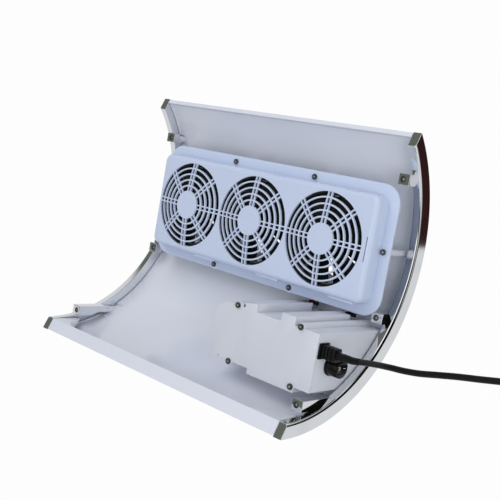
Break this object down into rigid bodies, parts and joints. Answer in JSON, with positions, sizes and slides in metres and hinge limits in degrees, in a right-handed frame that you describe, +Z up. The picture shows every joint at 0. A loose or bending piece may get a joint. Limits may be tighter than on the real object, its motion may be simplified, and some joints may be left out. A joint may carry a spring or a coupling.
{
  "type": "nail dust collector",
  "caption": "White arched table-top nail dust collector with chrome end trims, fan tray with round grilles, power box, rocker switch and mains cord.",
  "frame": {"origin": "middle of the footprint of the arch on the table, without the cord", "axes": "+Z up as used, +X along the arch towards the end with the mains inlet, +Y towards the rear edge beside the power box"},
  "size_m": [0.6008, 0.3159, 0.103],
  "materials": {
    "white_gloss": "glossy white moulding",
    "chrome": "mirror-bright plated trim",
    "tray_plastic": "satin pale blue-white moulding",
    "guard_plastic": "glossy white moulding",
    "box_plastic": "satin white moulding",
    "fan_black": "satin black moulding",
    "copper": "enamelled copper winding on a steel core",
    "screw_steel": "dark zinc-plated screw",
    "board": "green board",
    "transformer": "taped core",
    "capacitor": "sleeved can",
    "socket_black": "satin black moulding",
    "switch_black": "glossy black moulding",
    "wire_red": "red wire sleeve",
    "wire_black": "black wire sleeve",
    "cord_black": "satin black cord sheath",
    "tie_black": "satin black band",
    "pin_brass": "bright plug pin"
  },
  "bodies": {
    "housing": {"arch_shell": "white_gloss", "trim_left": "chrome", "trim_right": "chrome", "trim_screw_left_front": "screw_steel", "trim_screw_left_middle": "screw_steel", "trim_screw_left_rear": "screw_steel", "trim_screw_right_front": "screw_steel", "trim_screw_right_middle": "screw_steel", "trim_screw_right_rear": "screw_steel", "fan_tray": "tray_plastic", "tray_screw_front_left": "screw_steel", "tray_screw_front_right": "screw_steel", "tray_screw_rear_left": "screw_steel", "tray_screw_rear_right": "screw_steel", "tray_screw_left": "screw_steel", "tray_screw_right": "screw_steel", "fan_frame_left": "fan_black", "fan_stator_left": "copper", "intake_duct_left": "white_gloss", "intake_guard_left": "guard_plastic", "fan_frame_middle": "fan_black", "fan_stator_middle": "copper", "intake_duct_middle": "white_gloss", "intake_guard_middle": "guard_plastic", "fan_frame_right": "fan_black", "fan_stator_right": "copper", "intake_duct_right": "white_gloss", "intake_guard_right": "guard_plastic", "power_box_tub": "box_plastic", "power_box_cover": "box_plastic", "cover_screw_front_left": "screw_steel", "cover_screw_front_right": "screw_steel", "cover_screw_rear_left": "screw_steel", "cover_screw_rear_right": "screw_steel", "circuit_board": "board", "transformer": "transformer", "capacitor": "capacitor", "mains_inlet": "socket_black", "appliance_connector": "cord_black", "switch_housing": "switch_black", "fan_wire_red": "wire_red", "fan_wire_black": "wire_black", "mains_cord": "cord_black", "cord_coil": "cord_black", "cord_tie": "tie_black", "cord_tail": "cord_black", "mains_plug": "cord_black", "mains_plug_pin_1": "pin_brass", "mains_plug_pin_2": "pin_brass"},
    "impeller_left": {"fan_impeller_left": "fan_black"},
    "impeller_middle": {"fan_impeller_middle": "fan_black"},
    "impeller_right": {"fan_impeller_right": "fan_black"},
    "rocker": {"switch_rocker": "switch_black"}
  },
  "joints": [
    {"name": "impeller_left_spin", "type": "hinge", "parent": "housing", "child": "impeller_left", "pos_m": [-0.09525, -0.04757, 0.04889], "axis": [0, -0.4067, 0.9135], "continuous": true},
    {"name": "impeller_middle_spin", "type": "hinge", "parent": "housing", "child": "impeller_middle", "pos_m": [0.002, -0.04757, 0.04889], "axis": [0, -0.4067, 0.9135], "continuous": true},
    {"name": "impeller_right_spin", "type": "hinge", "parent": "housing", "child": "impeller_right", "pos_m": [0.09925, -0.04757, 0.04889], "axis": [0, -0.4067, 0.9135], "continuous": true},
    {"name": "rocker_tilt", "type": "hinge", "parent": "housing", "child": "rocker", "pos_m": [0.1793, 0.07226, 0.03766], "axis": [0, 0.9135, 0.4067], "range_deg": [-16, 0]}
  ]
}
